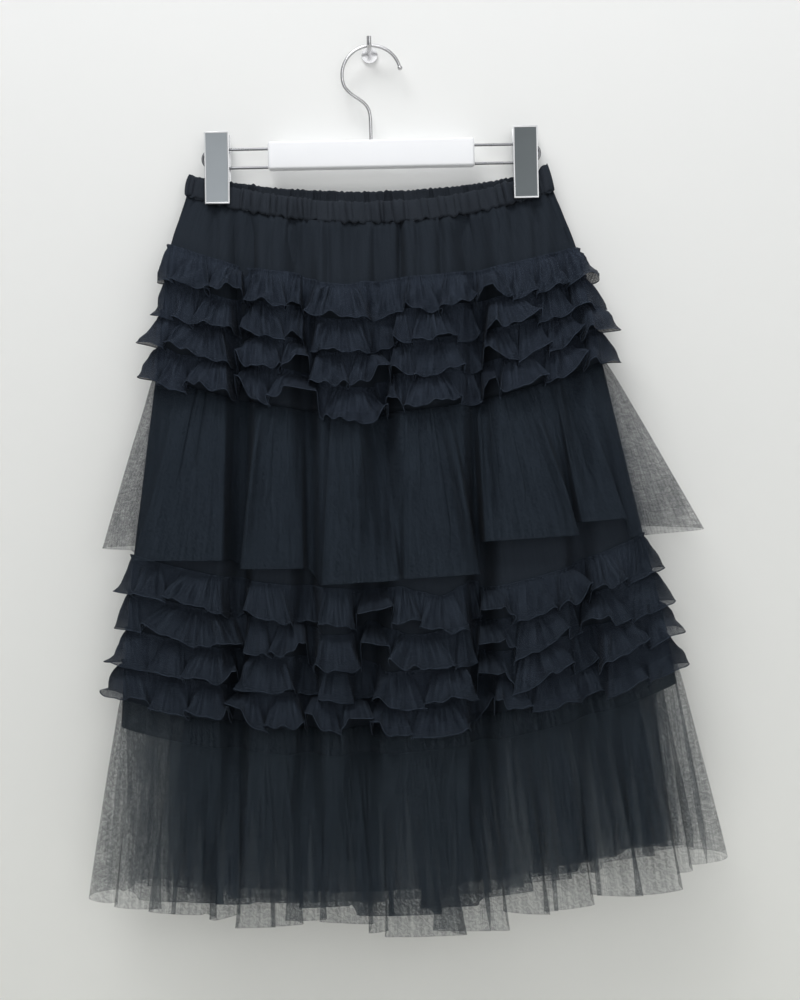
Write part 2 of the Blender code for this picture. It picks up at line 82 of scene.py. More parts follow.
# Sections of the skirt's body, from the waist to the hem
Section = namedtuple("Section", "down left right z_left z_right z_front z_back middle front "
                                "back power fold")
SECTION_ROWS = (
    (0.000, -0.168, 0.163, -0.110, -0.112, -0.139, -0.127, -0.016, 0.0095, 0.0088, 1.7, 0.000),
    (0.020, -0.172, 0.169, -0.129, -0.131, -0.158, -0.147, -0.016, 0.0100, 0.0090, 1.7, 0.001),
    (0.082, -0.186, 0.188, -0.184, -0.195, -0.222, -0.203, -0.031, 0.0170, 0.0110, 2.2, 0.0065),
    (0.1945, -0.198, 0.205, -0.296, -0.290, -0.334, -0.314, -0.040, 0.0230, 0.0160, 2.3, 0.010),
    (0.365, -0.221, 0.238, -0.466, -0.446, -0.498, -0.484, -0.048, 0.0280, 0.0200, 2.4, 0.012),
    (0.460, -0.230, 0.256, -0.560, -0.528, -0.590, -0.576, -0.052, 0.0300, 0.0210, 2.4, 0.012),
    (0.510, -0.233, 0.265, -0.610, -0.580, -0.634, -0.624, -0.053, 0.0300, 0.0210, 2.4, 0.009),
    (0.655, -0.246, 0.288, -0.751, -0.725, -0.789, -0.780, -0.055, 0.0280, 0.0200, 2.4, 0.003),
)
FOLD_DEPTH = 2.2              # times the solids' folds
# Each fold's x at the first ruffle and at the hem, its share of the depth, its half width
FRONT_FOLDS = (
    (-0.117, -0.132, 1.00, 0.010),
    (-0.062, -0.066, 0.95, 0.010),
    (0.012, -0.022, 1.00, 0.014),
    (0.095, 0.088, 1.10, 0.011),
    (0.173, 0.186, 0.60, 0.011),
)
BACK_FOLDS = (
    (-0.115, -0.140, 0.50, 0.014),
    (-0.035, -0.048, 0.60, 0.013),
    (0.048, 0.055, 0.50, 0.014),
    (0.120, 0.160, 0.60, 0.013),
)

# Troughs of the cloth under the waistband: x and half width in millimetres, depth share
YOKE_TROUGHS = (
    (-144, 4.5, 0.4), (-119, 8.0, 1.0), (-94, 3.0, 0.3), (-73, 5.5, 0.8), (-41, 3.0, 0.45),
    (-19, 7.0, 0.55), (1, 3.0, 0.3), (25, 2.8, 0.9), (41, 3.0, 0.35), (62, 3.2, 0.6),
    (83, 9.0, 1.0), (106, 5.5, 0.6), (129, 5.5, 0.45), (150, 4.0, 0.5),
)

# Lobes of each ruffle strip on the front, in millimetres: left and right end of the lobe's
# edge, height of its lowest point, and how much higher its right corner hangs where it does
UPPER_LOBES = (
    ((-201, -180, -211), (-178, -148, -219), (-148, -119, -227), (-113, -79, -236, -4),
     (-78, -68, -233, 6), (-59, -6, -250), (4, 22, -247), (31, 59, -237, -8),
     (60, 89, -232, 12), (95, 123, -221, 6), (127, 146, -218, 5), (148, 172, -217, 8),
     (174, 193, -216)),
    ((-199, -181, -243), (-179, -163, -250), (-162, -128, -257, 3), (-116, -81, -266),
     (-80, -67, -261, 4), (-54, -6, -282), (0, 19, -275), (19, 34, -266),
     (35, 73, -269, 4), (76, 91, -262), (103, 147, -252, 7), (148, 175, -242, 6),
     (177, 194, -242)),
    ((-199, -189, -270), (-188, -132, -281, -3), (-119, -84, -294, 6), (-83, -60, -298),
     (-56, -24, -310, -3), (-23, 12, -310, 3), (16, 35, -295), (36, 79, -292, 10),
     (81, 94, -280), (99, 130, -274, -3), (130, 156, -273, 8), (157, 183, -267, 8),
     (186, 205, -261)),
    ((-201, -193, -300), (-193, -170, -312), (-169, -131, -312), (-120, -95, -317, -4),
     (-94, -54, -324), (-43, 9, -344), (12, 25, -327), (27, 75, -320, 5),
     (78, 93, -311), (99, 111, -300), (112, 152, -298, 6), (153, 185, -297),
     (188, 207, -291)),
)
LOWER_LOBES = (
    ((-232, -219, -487), (-218, -190, -492), (-189, -139, -491), (-116, -78, -510, -8),
     (-74, -56, -503), (-51, -24, -522), (-17, 11, -522, 6), (13, 36, -519, 4),
     (37, 77, -531, -8), (81, 89, -513), (91, 117, -522), (118, 155, -523, 4),
     (161, 183, -507), (188, 218, -497, 12), (223, 243, -482, 4)),
    ((-232, -211, -523), (-209, -122, -532, -2), (-116, -96, -541), (-95, -67, -539),
     (-54, -19, -560), (-14, 7, -550), (10, 64, -569, -4), (67, 83, -559),
     (89, 117, -551), (119, 165, -549, 18), (169, 178, -532), (179, 220, -534),
     (226, 249, -514, 5)),
    ((-231, -205, -557), (-203, -173, -557), (-172, -126, -561, 4), (-124, -77, -574, 4),
     (-72, -56, -571), (-52, -26, -589), (-20, -6, -582), (-5, 39, -596, -5),
     (40, 83, -596), (88, 115, -579), (117, 168, -578, 18), (174, 191, -565),
     (195, 235, -564, 12), (240, 256, -548, 5)),
    ((-228, -203, -585), (-202, -170, -588), (-169, -133, -588, 5), (-132, -101, -607, -4),
     (-100, -69, -609), (-63, -37, -608), (-32, -8, -614), (-7, 26, -618),
     (28, 76, -624), (81, 98, -602), (101, 130, -595), (134, 175, -598),
     (179, 197, -591), (200, 233, -595, 6), (239, 259, -585)),
)

LOBE_OVERLAP = 0.0030
LEAST_LOBE = 0.006            # as a share of the way round
PAST_LEFT_SEAM = -0.012       # where the front's first lobe starts
PAST_RIGHT_SEAM = 0.512       # and where its last one ends
NARROW_LOBE = 20              # narrower ones, in millimetres, lie sunk between the others
MOST_DENSITY = 4.5            # of a tier
EDGE_FADE = ((0.90, 0.96, 0.99, 1.0), (1.0, 0.70, 0.62, 1.3))    # of a tier, down to its edge
NET_CELL = 0.0012
CLOTH_THREAD = 0.0006
STRIP_DENSITY = 2.4           # at a strip's seam, against one layer of the net
EDGE_DENSITY = 6.0            # at its cut edge
EDGE_HIGHLIGHT_PAINT = 1.35          # painted highlight on the cut edge, against the net's light tone

# How far each strip's end lobes stand out past the left and the right side seam
UPPER_TUFTS = ((0.0070, 0.0105), (0.0060, 0.0125), (0.0150, 0.0205), (0.0120, 0.0160))
LOWER_TUFTS = ((0.0090, 0.0110), (0.0080, 0.0130), (0.0120, 0.0170), (0.0150, 0.0120))

# Panels of the wide tiers on the front, in millimetres: left and right fold of the panel,
# and the heights of its lower edge there
FLOUNCE_PANELS = (
    (-236, -217, -448, -453), (-215, -135, -461, -463), (-120, -65, -470, -471),
    (-50, 19, -487, -481), (22, 89, -483, -477), (93, 176, -452, -444),
    (178, 220, -436, -431), (221, 262, -453, -436),
)
HEM_PANELS = (
    (-258, -238, -760, -762), (-240, -194, -765, -766), (-209, -159, -767, -772),
    (-149, -125, -779, -766), (-131, -69, -784, -778), (-88, -49, -776, -775),
    (-58, -9, -776, -782), (-15, 4, -790, -785), (-1, 73, -792, -791),
    (40, 110, -786, -789), (102, 145, -769, -777), (138, 184, -775, -766),
    (179, 227, -757, -763), (218, 262, -762, -756), (259, 273, -744, -742),
    (270, 302, -738, -733),
)
# Where the hem's net lies in fewer layers: left, right, and how thin
HEM_WINDOWS = (
    (-262, -218, 1.2), (-228, -190, 0.96), (-190, -164, 0.50), (-151, -133, 0.12),
    (-133, -100, 0.24), (-100, -82, 0.40), (-48, -34, 0.25), (-9, 43, 0.44), (43, 66, 0.15),
    (87, 108, 0.50), (108, 136, 0.70), (140, 159, 0.72), (159, 178, 0.18), (178, 200, 0.64),
    (200, 222, 0.52), (222, 249, 0.26), (249, 268, 0.82), (256, 306, 1.8),
)
INNER_PANELS = (
    (-236, -222, -750, -755), (-218, -180, -760, -763), (-176, -140, -762, -764),
    (-150, -118, -764, -764), (-108, -70, -762, -765), (-76, -30, -769, -766),
    (-24, 10, -775, -777), (2, 52, -777, -775), (30, 82, -771, -768), (90, 132, -764, -755),
    (126, 170, -747, -739), (176, 206, -732, -728), (202, 240, -724, -720),
    (244, 274, -724, -718),
)
TIER_SEED = 1440
TIER_GATHERS = 0.0028         # depth of a tier's fine gathers at its seam
FLOUNCE_EDGE = (-0.463, -0.446, -0.483, -0.470)
FLAP_LEFT = 0.013
FLAP_RIGHT = 0.040
FLAP_HALF_WIDTH = 0.020

# Pinched pleats, as narrow dark lines: x at the edge in millimetres, and their reach
# from the seam down, as a share of the tier
PINCH_HALF_WIDTH = 0.0042
HEM_PINCHES = ((-182, 0.6, 1.0), (-150, 0.7, 1.0), (-96, 0.4, 1.0), (92, 0.1, 0.9),
               (148, 0.0, 1.0), (186, 0.5, 1.0), (276, 0.0, 0.9))
FLOUNCE_PINCHES = ((-188, 0.0, 0.45), (-170, 0.0, 0.3), (-100, 0.0, 0.5), (-80, 0.0, 0.35),
                   (-34, 0.0, 0.6), (-6, 0.0, 0.45), (38, 0.0, 0.4), (66, 0.0, 0.7),
                   (110, 0.0, 0.5), (134, 0.0, 0.65), (160, 0.0, 0.4), (196, 0.0, 0.5))

# Hanger
HANGER_Y = -0.016
LOOP_WIRE = 0.0025
CLIP_DEPTH = 0.0034
CLIP_GAP_DOWNS = (0.073, 0.105, 0.139)    # below the hook: a clip's top, its pivot, its lip
CLIP_GAPS = (0.0062, 0.0050, 0.0071)      # from the hanger's plane to the plate there

# Soft lights: name, place, aim, size in metres and power in watts
LIGHTS = (
    ("ceiling_front", (-0.9, -1.7, 2.1), (0.0, 0.0, 0.1), 1.3, 36.5),
    ("room_right", (1.9, -2.2, 0.6), (0.0, 0.0, -0.4), 1.6, 5.5),
    ("room_front", (0.3, -2.5, 0.0), (0.0, 0.0, -0.4), 1.8, 18.5),
    ("wall_wash", (0.0, -0.9, 1.4), (0.0, 0.0, 0.4), 1.0, 9.5),
    ("behind", (0.9, 2.3, 1.3), (0.0, 0.0, -0.35), 1.6, 60.0),
)


# Body of the skirt

def smooth_table():
    """The section table every millimetre down, with its corners rounded."""
    rows = np.array(SECTION_ROWS)
    downs = np.arange(0.0, 0.6605, 0.001)
    table = np.stack([np.interp(downs, rows[:, 0], rows[:, i]) for i in range(rows.shape[1])])
    reach = 12
    weights = np.hanning(2 * reach + 1)
    weights /= weights.sum()
    padded = np.concatenate((2 * table[:, :1] - table[:, reach:0:-1], table,
                             2 * table[:, -1:] - table[:, -2:-reach - 2:-1]), axis=1)
    return downs, np.stack([np.convolve(line, weights, "valid") for line in padded])


TABLE_DOWNS, TABLE = smooth_table()


def section_at(down):
    """The body's section at a distance down the cloth."""
    return Section(*[np.interp(down, TABLE_DOWNS, line) for line in TABLE])


def half_oval(section, bulge, count):
    """Even steps along one half of the oval, from the left seam to the right, and its length."""
    turn = np.linspace(0.0, math.pi, 900)
    across = -np.cos(turn)
    deep = (1.0 - np.abs(across) ** section.power).clip(0.0) ** (1.0 / section.power)
    centre = (section.left + section.right) / 2
    half = (section.right - section.left) / 2
    x = centre + half * across
    y = section.middle + bulge * deep
    length = np.concatenate(([0.0], np.cumsum(np.hypot(np.diff(x), np.diff(y)))))
    steps = np.linspace(0.0, length[-1], count + 1)
    return np.interp(steps, length, x), np.interp(steps, length, y), length[-1]


class Ring:
    """The body's oval at one distance down, read at any share of the way round."""

    COUNT = 1440
    HALF = COUNT // 2

    def __init__(self, down):
        self.section = section_at(down)
        front = half_oval(self.section, -self.section.front, self.HALF)
        back = half_oval(self.section, self.section.back, self.HALF)
        self.length = front[2] + back[2]
        self.share = np.arange(self.COUNT) / self.COUNT
        self.x, self.y = [np.concatenate((front[i][:-1], back[i][:0:-1])) for i in (0, 1)]
        along_x, along_y = [np.roll(line, -5) - np.roll(line, 5) for line in (self.x, self.y)]
        size = np.hypot(along_x, along_y)
        self.normal_x = along_y / size
        self.normal_y = -along_x / size
        self.out = self.body_folds()
        self.z = self.line_height(*self.section[3:7])

    def line_height(self, z_left, z_right, z_front, z_back):
        """Heights of a line round the body, given at its left, right, front and back."""
        half = (self.section.right - self.section.left) / 2
        across = ((self.x - self.section.left) / half - 1.0).clip(-1.0, 1.0)
        ends = (z_left + z_right) / 2
        droop = np.where(self.share > 0.5, ends - z_back, ends - z_front)
        return ends + (z_right - z_left) / 2 * across - droop * (1.0 - across ** 2)

    def body_folds(self):
        """How far the body's own folds move its wall out."""
        way_down = min(1.0, max(0.0, (self.section.down - UPPER_STRIPS[0]) / 0.5))
        moved = np.zeros(self.COUNT)
        for folds, side in ((FRONT_FOLDS, self.share < 0.5), (BACK_FOLDS, self.share > 0.5)):
            for x_top, x_hem, share, half_width in folds:
                reach = (self.x - (x_top + (x_hem - x_top) * way_down)) / half_width
                deep = FOLD_DEPTH * self.section.fold * share
                moved -= side * deep * np.exp(-np.abs(reach) ** 3)
        return moved

    def read(self, values, share):
        """Values of the ring's samples at shares of the way round."""
        return np.interp(np.mod(share, 1.0), self.share, values, period=1.0)

    def points(self, share, out):
        """Points at shares of the way round, moved out from the body's folded wall."""
        distance = self.read(self.out, share) + out
        x = self.read(self.x, share) + self.read(self.normal_x, share) * distance
        y = self.read(self.y, share) + self.read(self.normal_y, share) * distance
        return np.stack((x, y, self.read(self.z, share)), 1)


# Lobes and pleats

def fine_noise(share, seed, times):
    """A soft uneven wave from -1 to 1 that closes on itself."""
    dice = np.random.RandomState(seed)
    total = np.zeros_like(share)
    for octave in times:
        total += np.sin(2 * math.pi * (octave * share + dice.rand()))
    return total / len(times)


def crumple(along, down, seed):
    """Small dents of soft net, 10 to 25 mm across, from -1 to 1."""
    dice = np.random.RandomState(seed + 90)
    total = np.zeros_like(along)
    for k in range(7):
        length = dice.uniform(0.011, 0.026)
        turn = dice.uniform(0.0, 2 * math.pi)
        heading = dice.uniform(-1.1, 1.1)
        wave = (along * math.cos(heading) + down * math.sin(heading)) / length
        total += np.sin(2 * math.pi * wave + turn + 1.3 * np.sin(along / 0.031 + turn))
    return total / 3.2


def uneven_lobes(seed, count, spread):
    """A reader of lobes of uneven width and size, as a rise from 0 to 1 and back."""
    dice = np.random.RandomState(seed)
    starts = (np.arange(count) + dice.uniform(-0.35, 0.35, count)) / count
    sizes = 1.0 - spread * dice.rand(count)
    edges = np.append(starts, starts[0] + 1.0)

    def rise(share, power=0.8):
        place = np.mod(share - starts[0], 1.0) + starts[0]
        index = (np.searchsorted(edges, place, side="right") - 1).clip(0, count - 1)
        way = (place - edges[index]) / (edges[index + 1] - edges[index])
        return np.sin(math.pi * way) ** power * sizes[index]

    return rise


def front_shares(ring, table, reach):
    """The shares of the way round between which each lobe of a table stands."""
    half = Ring.HALF
    x = ring.x[:half] + ring.normal_x[:half] * (ring.out[:half] + reach)
    x = np.maximum.accumulate(x)
    ends = [[float(np.interp(end / 1000, x, ring.share[:half])) for end in row[:2]]
            for row in table]
    ends[0][0], ends[-1][1] = PAST_LEFT_SEAM, PAST_RIGHT_SEAM
    return [(left, max(right, left + LEAST_LOBE)) for left, right in ends]


class FoldPath:
    """The lower edge's way round its lobes, at even steps along the cloth."""

    CORNER = 0.84
    WALL = 0.0012
    EVENLY = np.arange(9) / 8
    SEAM = np.array((0.02, 0.15, 0.24, 0.38, 0.50, 0.62, 0.76, 0.85, 0.98))
    TILT = np.array((-0.5, -0.5, -0.5, -0.25, 0.0, 0.25, 0.5, 0.5, 0.5))

    def __init__(self, ring, lobes, least, count, soften):
        knots = []
        for i, (left, right, most, lift, tilt, edge) in enumerate(lobes):
            before = lobes[i - 1].right - (1.0 if i == 0 else 0.0)
            after = lobes[(i + 1) % len(lobes)].left + (1.0 if i == len(lobes) - 1 else 0.0)
            start, end = (before + left) / 2, (right + after) / 2
            low = self.floor(ring, start, left - before, least)
            next_low = self.floor(ring, end, after - right, least)
            first, last, quarter = start + 0.0004, end - 0.0004, 0.25 * (right - left)
            hem = (first, max(first, left - self.WALL), left, left + quarter,
                   (left + right) / 2, right - quarter, right, min(last, right + self.WALL), last)
            out = (low, low, self.CORNER * most, 0.96 * most, most, 0.96 * most,
                   self.CORNER * most, next_low, next_low)
            knots += zip(start + (end - start) * self.SEAM, hem, out, [lift] * 9,
                         self.TILT * tilt, edge[0] + (edge[1] - edge[0]) * self.EVENLY)
        knots.append(tuple(np.array(knots[0]) + (1.0, 1.0, 0, 0, 0, 0)))
        knots = np.array(knots)
        steps = np.hypot(np.diff(knots[:, 1]) * ring.length, np.diff(knots[:, 2]))
        along = np.concatenate(([0.0], np.cumsum(steps)))
        self.length = along[-1]
        self.even = np.arange(count) / count
        seam, hem, out, lift, tilt, edge = [np.interp(self.even * self.length, along, column)
                                            for column in knots.T]
        self.seam = self.soft(seam, 2 * soften, True)
        self.hem = self.soft(hem, soften, True)
        self.stand = (self.soft(out, soften) - ring.read(ring.out, self.hem)).clip(0.0008)
        self.lift = self.soft(lift, 34)
        self.tilt = self.soft(tilt, soften)
        self.edge = self.soft(edge, 2 * soften)
        self.pinched = []

    @staticmethod
    def floor(ring, share, gap, least):
        """How far out the cloth lies between two lobes: deep where the body folds in."""
        body = float(ring.read(ring.out, share))
        return body + 0.0015 if gap > 0.001 else min(least, body + 0.0045)

    def soft(self, values, reach, turning=False):
        """Round the corners of a line that closes on itself."""
        trend = self.even if turning else 0.0
        weights = np.hanning(2 * reach + 3)
        weights /= weights.sum()
        line = values - trend
        padded = np.concatenate((line[-reach - 1:], line, line[:reach + 1]))
        return np.convolve(padded, weights, "valid") + trend

    def pinch(self, ring, table, side_shift):
        """Add pinched pleats at places on the front and, shifted, on the back."""
        for x, first, last in table:
            share = float(np.interp(x / 1000, ring.x[:ring.HALF], ring.share[:ring.HALF]))
            for place in (share, 0.5 + np.mod(share + side_shift, 0.5)):
                nearest = int(np.argmin(np.abs(np.mod(self.hem - place + 0.5, 1.0) - 0.5)))
                distance = (self.even - self.even[nearest] + 0.5) % 1.0 - 0.5
                reach = distance * self.length / PINCH_HALF_WIDTH
                self.pinched.append((-reach * np.exp(-reach ** 2), first, last))

    def pinches(self, step):
        """Sideways and outward shifts of the pinched pleats at one height."""
        total = np.zeros(len(self.even))
        for wave, first, last in self.pinched:
            total += wave * float(np.interp(step, (first - 0.15, first, last, last + 0.2),
                                            (0.0, 1.0, 1.0, 0.0)))
        return total * 0.0105, total * 0.0016


def back_shares(ring, table, reach):
    """The same for the back with each row, but for the lobes at the side seams."""
    shares = zip(front_shares(ring, table, reach), table)
    return [(0.5 + left, 0.5 + right, row) for (left, right), row in shares
            if left >= 0.0 and right <= 0.5]


# A lobe's ends as shares of the way round, how far it stands out, and how its edge hangs
Lobe = namedtuple("Lobe", "left right most lift tilt edge", defaults=(0.0, 0.0, (0.0, 0.0)))


def strip_lobes(seam, foot, table, back_table, seed, tufts):
    """Lobes of a ruffle strip all round: the front's from its table, the back's like it."""
    dice = np.random.RandomState(seed)
    lobes = []
    widen = LOBE_OVERLAP / foot.length
    for i, (left, right) in enumerate(front_shares(foot, table, 0.8 * STRIP_STAND)):
        left_end, right_end, lowest, rise = (*table[i], 0)[:4]
        size = STRIP_STAND * (1.0 - 0.18 * dice.rand()) * (1.0, 0.80)[i % 2]
        if right_end - left_end < NARROW_LOBE:
            size = float(foot.read(foot.out, (left + right) / 2)) + 0.012
        if left < 0.0:
            size = tufts[0]
        elif right > 0.5:
            size = tufts[1]
        else:
            left, right = left - widen, right + widen
        seam_z = float(np.interp((left + right) / 2, seam.share, seam.z))
        plain = seam_z - math.sqrt(STRIP_HEIGHT ** 2 - size ** 2)
        lift = float(np.clip(lowest / 1000 - plain, -MOST_LIFT, MOST_LIFT))
        lobes.append(Lobe(left, right, size, lift, rise / 1000 + dice.uniform(-0.003, 0.003)))
    for i, (left, right, row) in enumerate(back_shares(foot, back_table, 0.8 * STRIP_STAND)):
        size = BACK_STRIP_STAND * (1.0 - 0.3 * dice.rand()) * (0.75, 1.0)[i % 2]
        rise = (*row, 0)[3]
        lobes.append(Lobe(left - 0.7 * widen, right + 0.7 * widen, size, 0.0, rise / 1500))
    return lobes


def tier_lobes(foot, table, back_table, seed, most, most_back, spread):
    """Panels of a wide tier all round, with the heights of its edge."""
    dice = np.random.RandomState(seed)
    lobes = []
    for (left, right), row in zip(front_shares(foot, table, 0.8 * most), table):
        lobes.append(Lobe(left, right, most * (1.0 - spread * dice.rand()),
                          edge=(row[2] / 1000, row[3] / 1000)))
    for left, right, _ in back_shares(foot, back_table, 0.8 * most):
        lobes.append(Lobe(left, right, most_back * (1.0 - spread * dice.rand()),
                          edge=tuple(np.interp((left, right), foot.share, foot.z))))
    return lobes


# Meshes of cloth

def cloth_mesh(name, rows, flat_u, flat_v, gather, thickness, look, closed):
    """A thin closed shell through rows of points, with its cut as UV and its gathering."""
    rows = np.asarray(rows)
    height, around = rows.shape[:2]
    mesh = bpy.data.meshes.new(name)
    index = np.arange(height * around).reshape(height, around)
    right = np.roll(index, -1, 1) if closed else index[:, 1:]
    left = index if closed else index[:, :-1]
    quads = np.stack((left[:-1], left[1:], right[1:], right[:-1]), -1).reshape(-1, 4)
    mesh.from_pydata(rows.reshape(-1, 3).tolist(), [], quads.tolist())
    u = np.broadcast_to(flat_u[None, :], (height, around))
    v = np.broadcast_to(flat_v[:, None], (height, around))
    flat = np.stack((u, v), -1).reshape(-1, 2)[quads.reshape(-1)]
    if closed:
        seam_faces = np.arange(quads.shape[0]).reshape(height - 1, -1)[:, -1]
        corners = (seam_faces[:, None] * 4 + np.array([2, 3])).reshape(-1)
        flat[corners, 0] += flat_u[-1] + (flat_u[-1] - flat_u[-2])
    uv = mesh.uv_layers.new(name="cut")
    uv.data.foreach_set("uv", flat.reshape(-1).astype(np.float32))
    density = mesh.attributes.new("gather", "FLOAT", "POINT")
    density.data.foreach_set("value", np.broadcast_to(gather, (height, around)).reshape(-1))
    mesh.materials.append(look)
    made = bpy.data.objects.new(name, mesh)
    bpy.context.scene.collection.objects.link(made)
    apply_modifier(made, "SOLIDIFY", thickness=thickness, offset=0.0)
    bpy.ops.object.shade_smooth()
    return made


def only(piece):
    """Select one object and make it active."""
    bpy.ops.object.select_all(action="DESELECT")
    piece.select_set(True)
    bpy.context.view_layer.objects.active = piece


def settle(thing, **settings):
    """Set properties of a piece, modifier, node, curve or light by name."""
    for key, value in settings.items():
        setattr(thing, key, value)
    return thing


def apply_modifier(piece, kind, **settings):
    """Finish a piece with one modifier, applied to its mesh."""
    change = settle(piece.modifiers.new("finish", kind), **settings)
    only(piece)
    bpy.ops.object.modifier_apply(modifier=change.name)


def dress(piece, slot, *nodes):
    """Ride on the one body and stand for its nodes."""
    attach(piece, "root")
    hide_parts(*nodes)


def sheet_piece(name, nodes, slot, look, rows, share, downs, gather=1.0,
                thickness=NET_THICKNESS, closed=True, measured=-1):
    """A sheet through its rows, cut as wide as one of them is long."""
    steps = np.diff(rows[measured], axis=0, append=rows[measured][:1 if closed else 0])
    width = float(np.linalg.norm(steps, axis=1).sum())
    piece = cloth_mesh(name, rows, share * width, -downs, gather, thickness, look, closed)
    dress(piece, slot, *nodes)


# Materials

def feed(tree, made, inputs):
    """Set the inputs of a node, by value or by link."""
    for key, value in inputs.items():
        if isinstance(value, bpy.types.NodeSocket):
            tree.links.new(value, made.inputs[key])
        else:
            made.inputs[key].default_value = value


def node(tree, kind, inputs=None, **settings):
    """Add a shader node, set its options and feed its inputs."""
    made = settle(tree.nodes.new("ShaderNode" + kind), **settings)
    feed(tree, made, inputs or {})
    return made


def maths(tree, operation, first, second, third=0.0, clamp=False):
    """The result of one sum on values or sockets."""
    return node(tree, "Math", {0: first, 1: second, 2: third}, operation=operation,
                use_clamp=clamp).outputs[0]


def weighted(tree, *pairs):
    """The sum of values times their weights, held within 0 and 1."""
    total = 0.0
    for value, weight in pairs:
        total = maths(tree, "MULTIPLY_ADD", value, weight, total, clamp=True)
    return total


def ranged(tree, value, low, high, to_low=0.0, to_high=1.0):
    """A value whose range is stretched to another one and held within it."""
    return node(tree, "MapRange", {"Value": value, "From Min": low, "From Max": high,
                                   "To Min": to_low, "To Max": to_high}).outputs[0]


def bumped(tree, height, strength, distance):
    return node(tree, "Bump", {"Height": height, "Strength": strength,
                               "Distance": distance}).outputs[0]


def noise(tree, place, scale, detail):
    return node(tree, "TexNoise", {"Vector": place, "Scale": scale, "Detail": detail}).outputs[0]


def between(tree, share, *colours):
    """A colour between two, each given as red, green and blue or by another node."""
    first, second = [(*c, 1.0) if isinstance(c, tuple) else c for c in colours]
    return node(tree, "Mix", {"Factor": share, "A": first, "B": second},
                data_type="RGBA").outputs["Result"]


def shader_group(name, inputs, outputs):
    """A node group that reads the cut's UV and its inputs, and the sockets it starts from."""
    group = bpy.data.node_groups.new(name, "ShaderNodeTree")
    group.interface.new_socket(name="Cut", in_out="INPUT", socket_type="NodeSocketVector")
    for key, value in inputs.items():
        socket = group.interface.new_socket(name=key, in_out="INPUT",
                                            socket_type="NodeSocketFloat")
        socket.default_value = value
    for key in outputs:
        group.interface.new_socket(name=key, in_out="OUTPUT", socket_type="NodeSocketFloat")
    return group, group.nodes.new("NodeGroupInput").outputs


def gather_lines(group, cut):
    """Fine creases that run down the cloth from its seam, and a fine grain across it."""
    drawn = node(group, "Mapping", {"Vector": cut, "Scale": (1.0, 0.09, 1.0)})
    creases = noise(group, drawn.outputs[0], 330.0, 1.0)
    grain = noise(group, cut, 700.0, 0.0)
    return ranged(group, creases, 0.32, 0.68), ranged(group, grain, 0.30, 0.70)


def net_group():
    """Fine net: how much its threads cover, its tone with painted shade along its creases, and
    the height of its creases.
    """
    group, start = shader_group("net_threads", {
        "Cell": NET_CELL, "Cover": 0.26, "Contrast": 0.2, "Gather": 1.0, "Moire": 0.06,
        "Crease Shade": 0.45}, ("Alpha", "Tone", "Height"))
    lines, grain = gather_lines(group, start["Cut"])
    per_metre = maths(group, "DIVIDE", 1.0, start["Cell"])
    cells = node(group, "TexVoronoi",
                 {"Vector": start["Cut"], "Scale": per_metre, "Randomness": 0.45},
                 feature="DISTANCE_TO_EDGE", voronoi_dimensions="2D")
    threads = ranged(group, cells.outputs["Distance"], 0.0, 0.35, 1.0, 0.0)
    bands = node(group, "TexWave",
                 {"Vector": start["Cut"], "Scale": 85.0, "Distortion": 9.0, "Detail": 1.0,
                  "Detail Scale": 2.2}, bands_direction="DIAGONAL").outputs["Fac"]
    woven = 0.0
    for pattern, strength in ((threads, "Contrast"), (bands, "Moire"), (lines, "Moire")):
        swing = maths(group, "SUBTRACT", pattern, 0.5)
        woven = maths(group, "MULTIPLY_ADD", swing, start[strength], woven)
    cover = maths(group, "ADD", start["Cover"], woven, clamp=True)
    clear = maths(group, "SUBTRACT", 1.0, cover, clamp=True)
    clear = maths(group, "POWER", clear, start["Gather"])
    feed(group, group.nodes.new("NodeGroupOutput"), {
        "Alpha": maths(group, "SUBTRACT", 1.0, clear, clamp=True),
        # The tone follows the creases' height as painted shade along the creases, besides the
        # threads and a random grain.
        "Tone": weighted(group, (threads, 0.35), (lines, start["Crease Shade"]), (grain, 0.40)),
        "Height": lines})
    return group


def weave_group():
    """Plain weave: the height of its threads, and a tone with slow and fine unevenness and
    painted shade along its fine creases.
    """
    group, start = shader_group("plain_weave", {"Thread": CLOTH_THREAD}, ("Height", "Tone"))
    per_metre = maths(group, "DIVIDE", 2 * math.pi, start["Thread"])
    parts = node(group, "SeparateXYZ", {0: start["Cut"]}).outputs
    across, down = [maths(group, "SINE", maths(group, "MULTIPLY", part, per_metre), 0.0)
                    for part in parts[:2]]
    slow = noise(group, start["Cut"], 22.0, 4.0)
    lines, grain = gather_lines(group, start["Cut"])
    feed(group, group.nodes.new("NodeGroupOutput"), {
        "Height": maths(group, "MULTIPLY", across, down),
        # The tone carries painted shade along the fine creases, besides its random unevenness.
        "Tone": weighted(group, (slow, 0.5), (lines, 0.25), (grain, 0.30))})
    return group


NET_THREADS = net_group()
PLAIN_WEAVE = weave_group()
CLOTH_SHEEN = {"Sheen Weight": 0.012, "Sheen Roughness": 0.5, "Specular IOR Level": 0.05}


def new_material(name):
    made = bpy.data.materials.new(name)
    made.use_nodes = True
    return made, made.node_tree, made.node_tree.nodes["Principled BSDF"]


